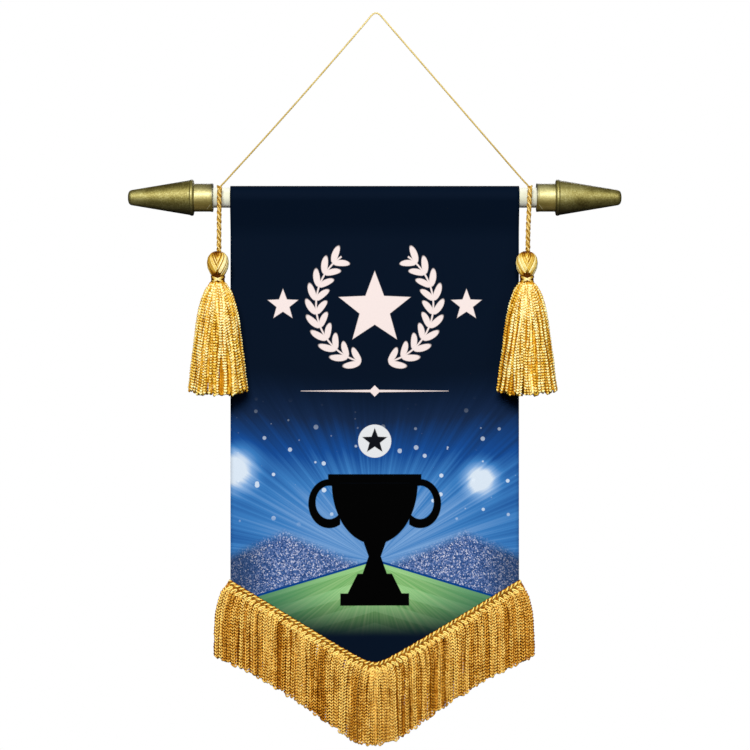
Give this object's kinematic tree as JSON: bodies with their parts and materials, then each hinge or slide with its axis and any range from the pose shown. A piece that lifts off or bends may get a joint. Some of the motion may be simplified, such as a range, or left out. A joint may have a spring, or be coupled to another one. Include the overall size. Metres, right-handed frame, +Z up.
{
  "type": "podium banner with its hanging rod",
  "caption": "Pointed printed cloth banner with a gold fringe, hung by its sleeve from a capped rod with a cord and tassels.",
  "frame": {"origin": "hook point under the top of the hanging cord, where the hook of a wall or stand holds it", "axes": "+X along the rod, -Y the way the printed face looks, +Z up"},
  "size_m": [0.522, 0.0596, 0.7777],
  "materials": {
    "printed_cloth": "smooth polyester satin with a navy and blue print",
    "gold_yarn": "glossy gold rayon chainette yarn",
    "gold_cord": "twisted gold rayon cord",
    "cream_rod": "smooth cream plastic",
    "bronze_cap": "moulded plastic with an olive bronze metallic coat"
  },
  "bodies": {
    "root": {"banner_panel": "printed_cloth", "fringe": "gold_yarn", "rod": "cream_rod", "cap_left": "bronze_cap", "cap_right": "bronze_cap", "hanger_cord": "gold_cord", "tassel_cord_left": "gold_cord", "tassel_cord_right": "gold_cord", "tassel_head_left": "gold_yarn", "tassel_head_right": "gold_yarn", "tassel_binding_left": "gold_yarn", "tassel_binding_right": "gold_yarn", "tassel_skirt_left": "gold_yarn", "tassel_skirt_right": "gold_yarn"}
  },
  "joints": []
}
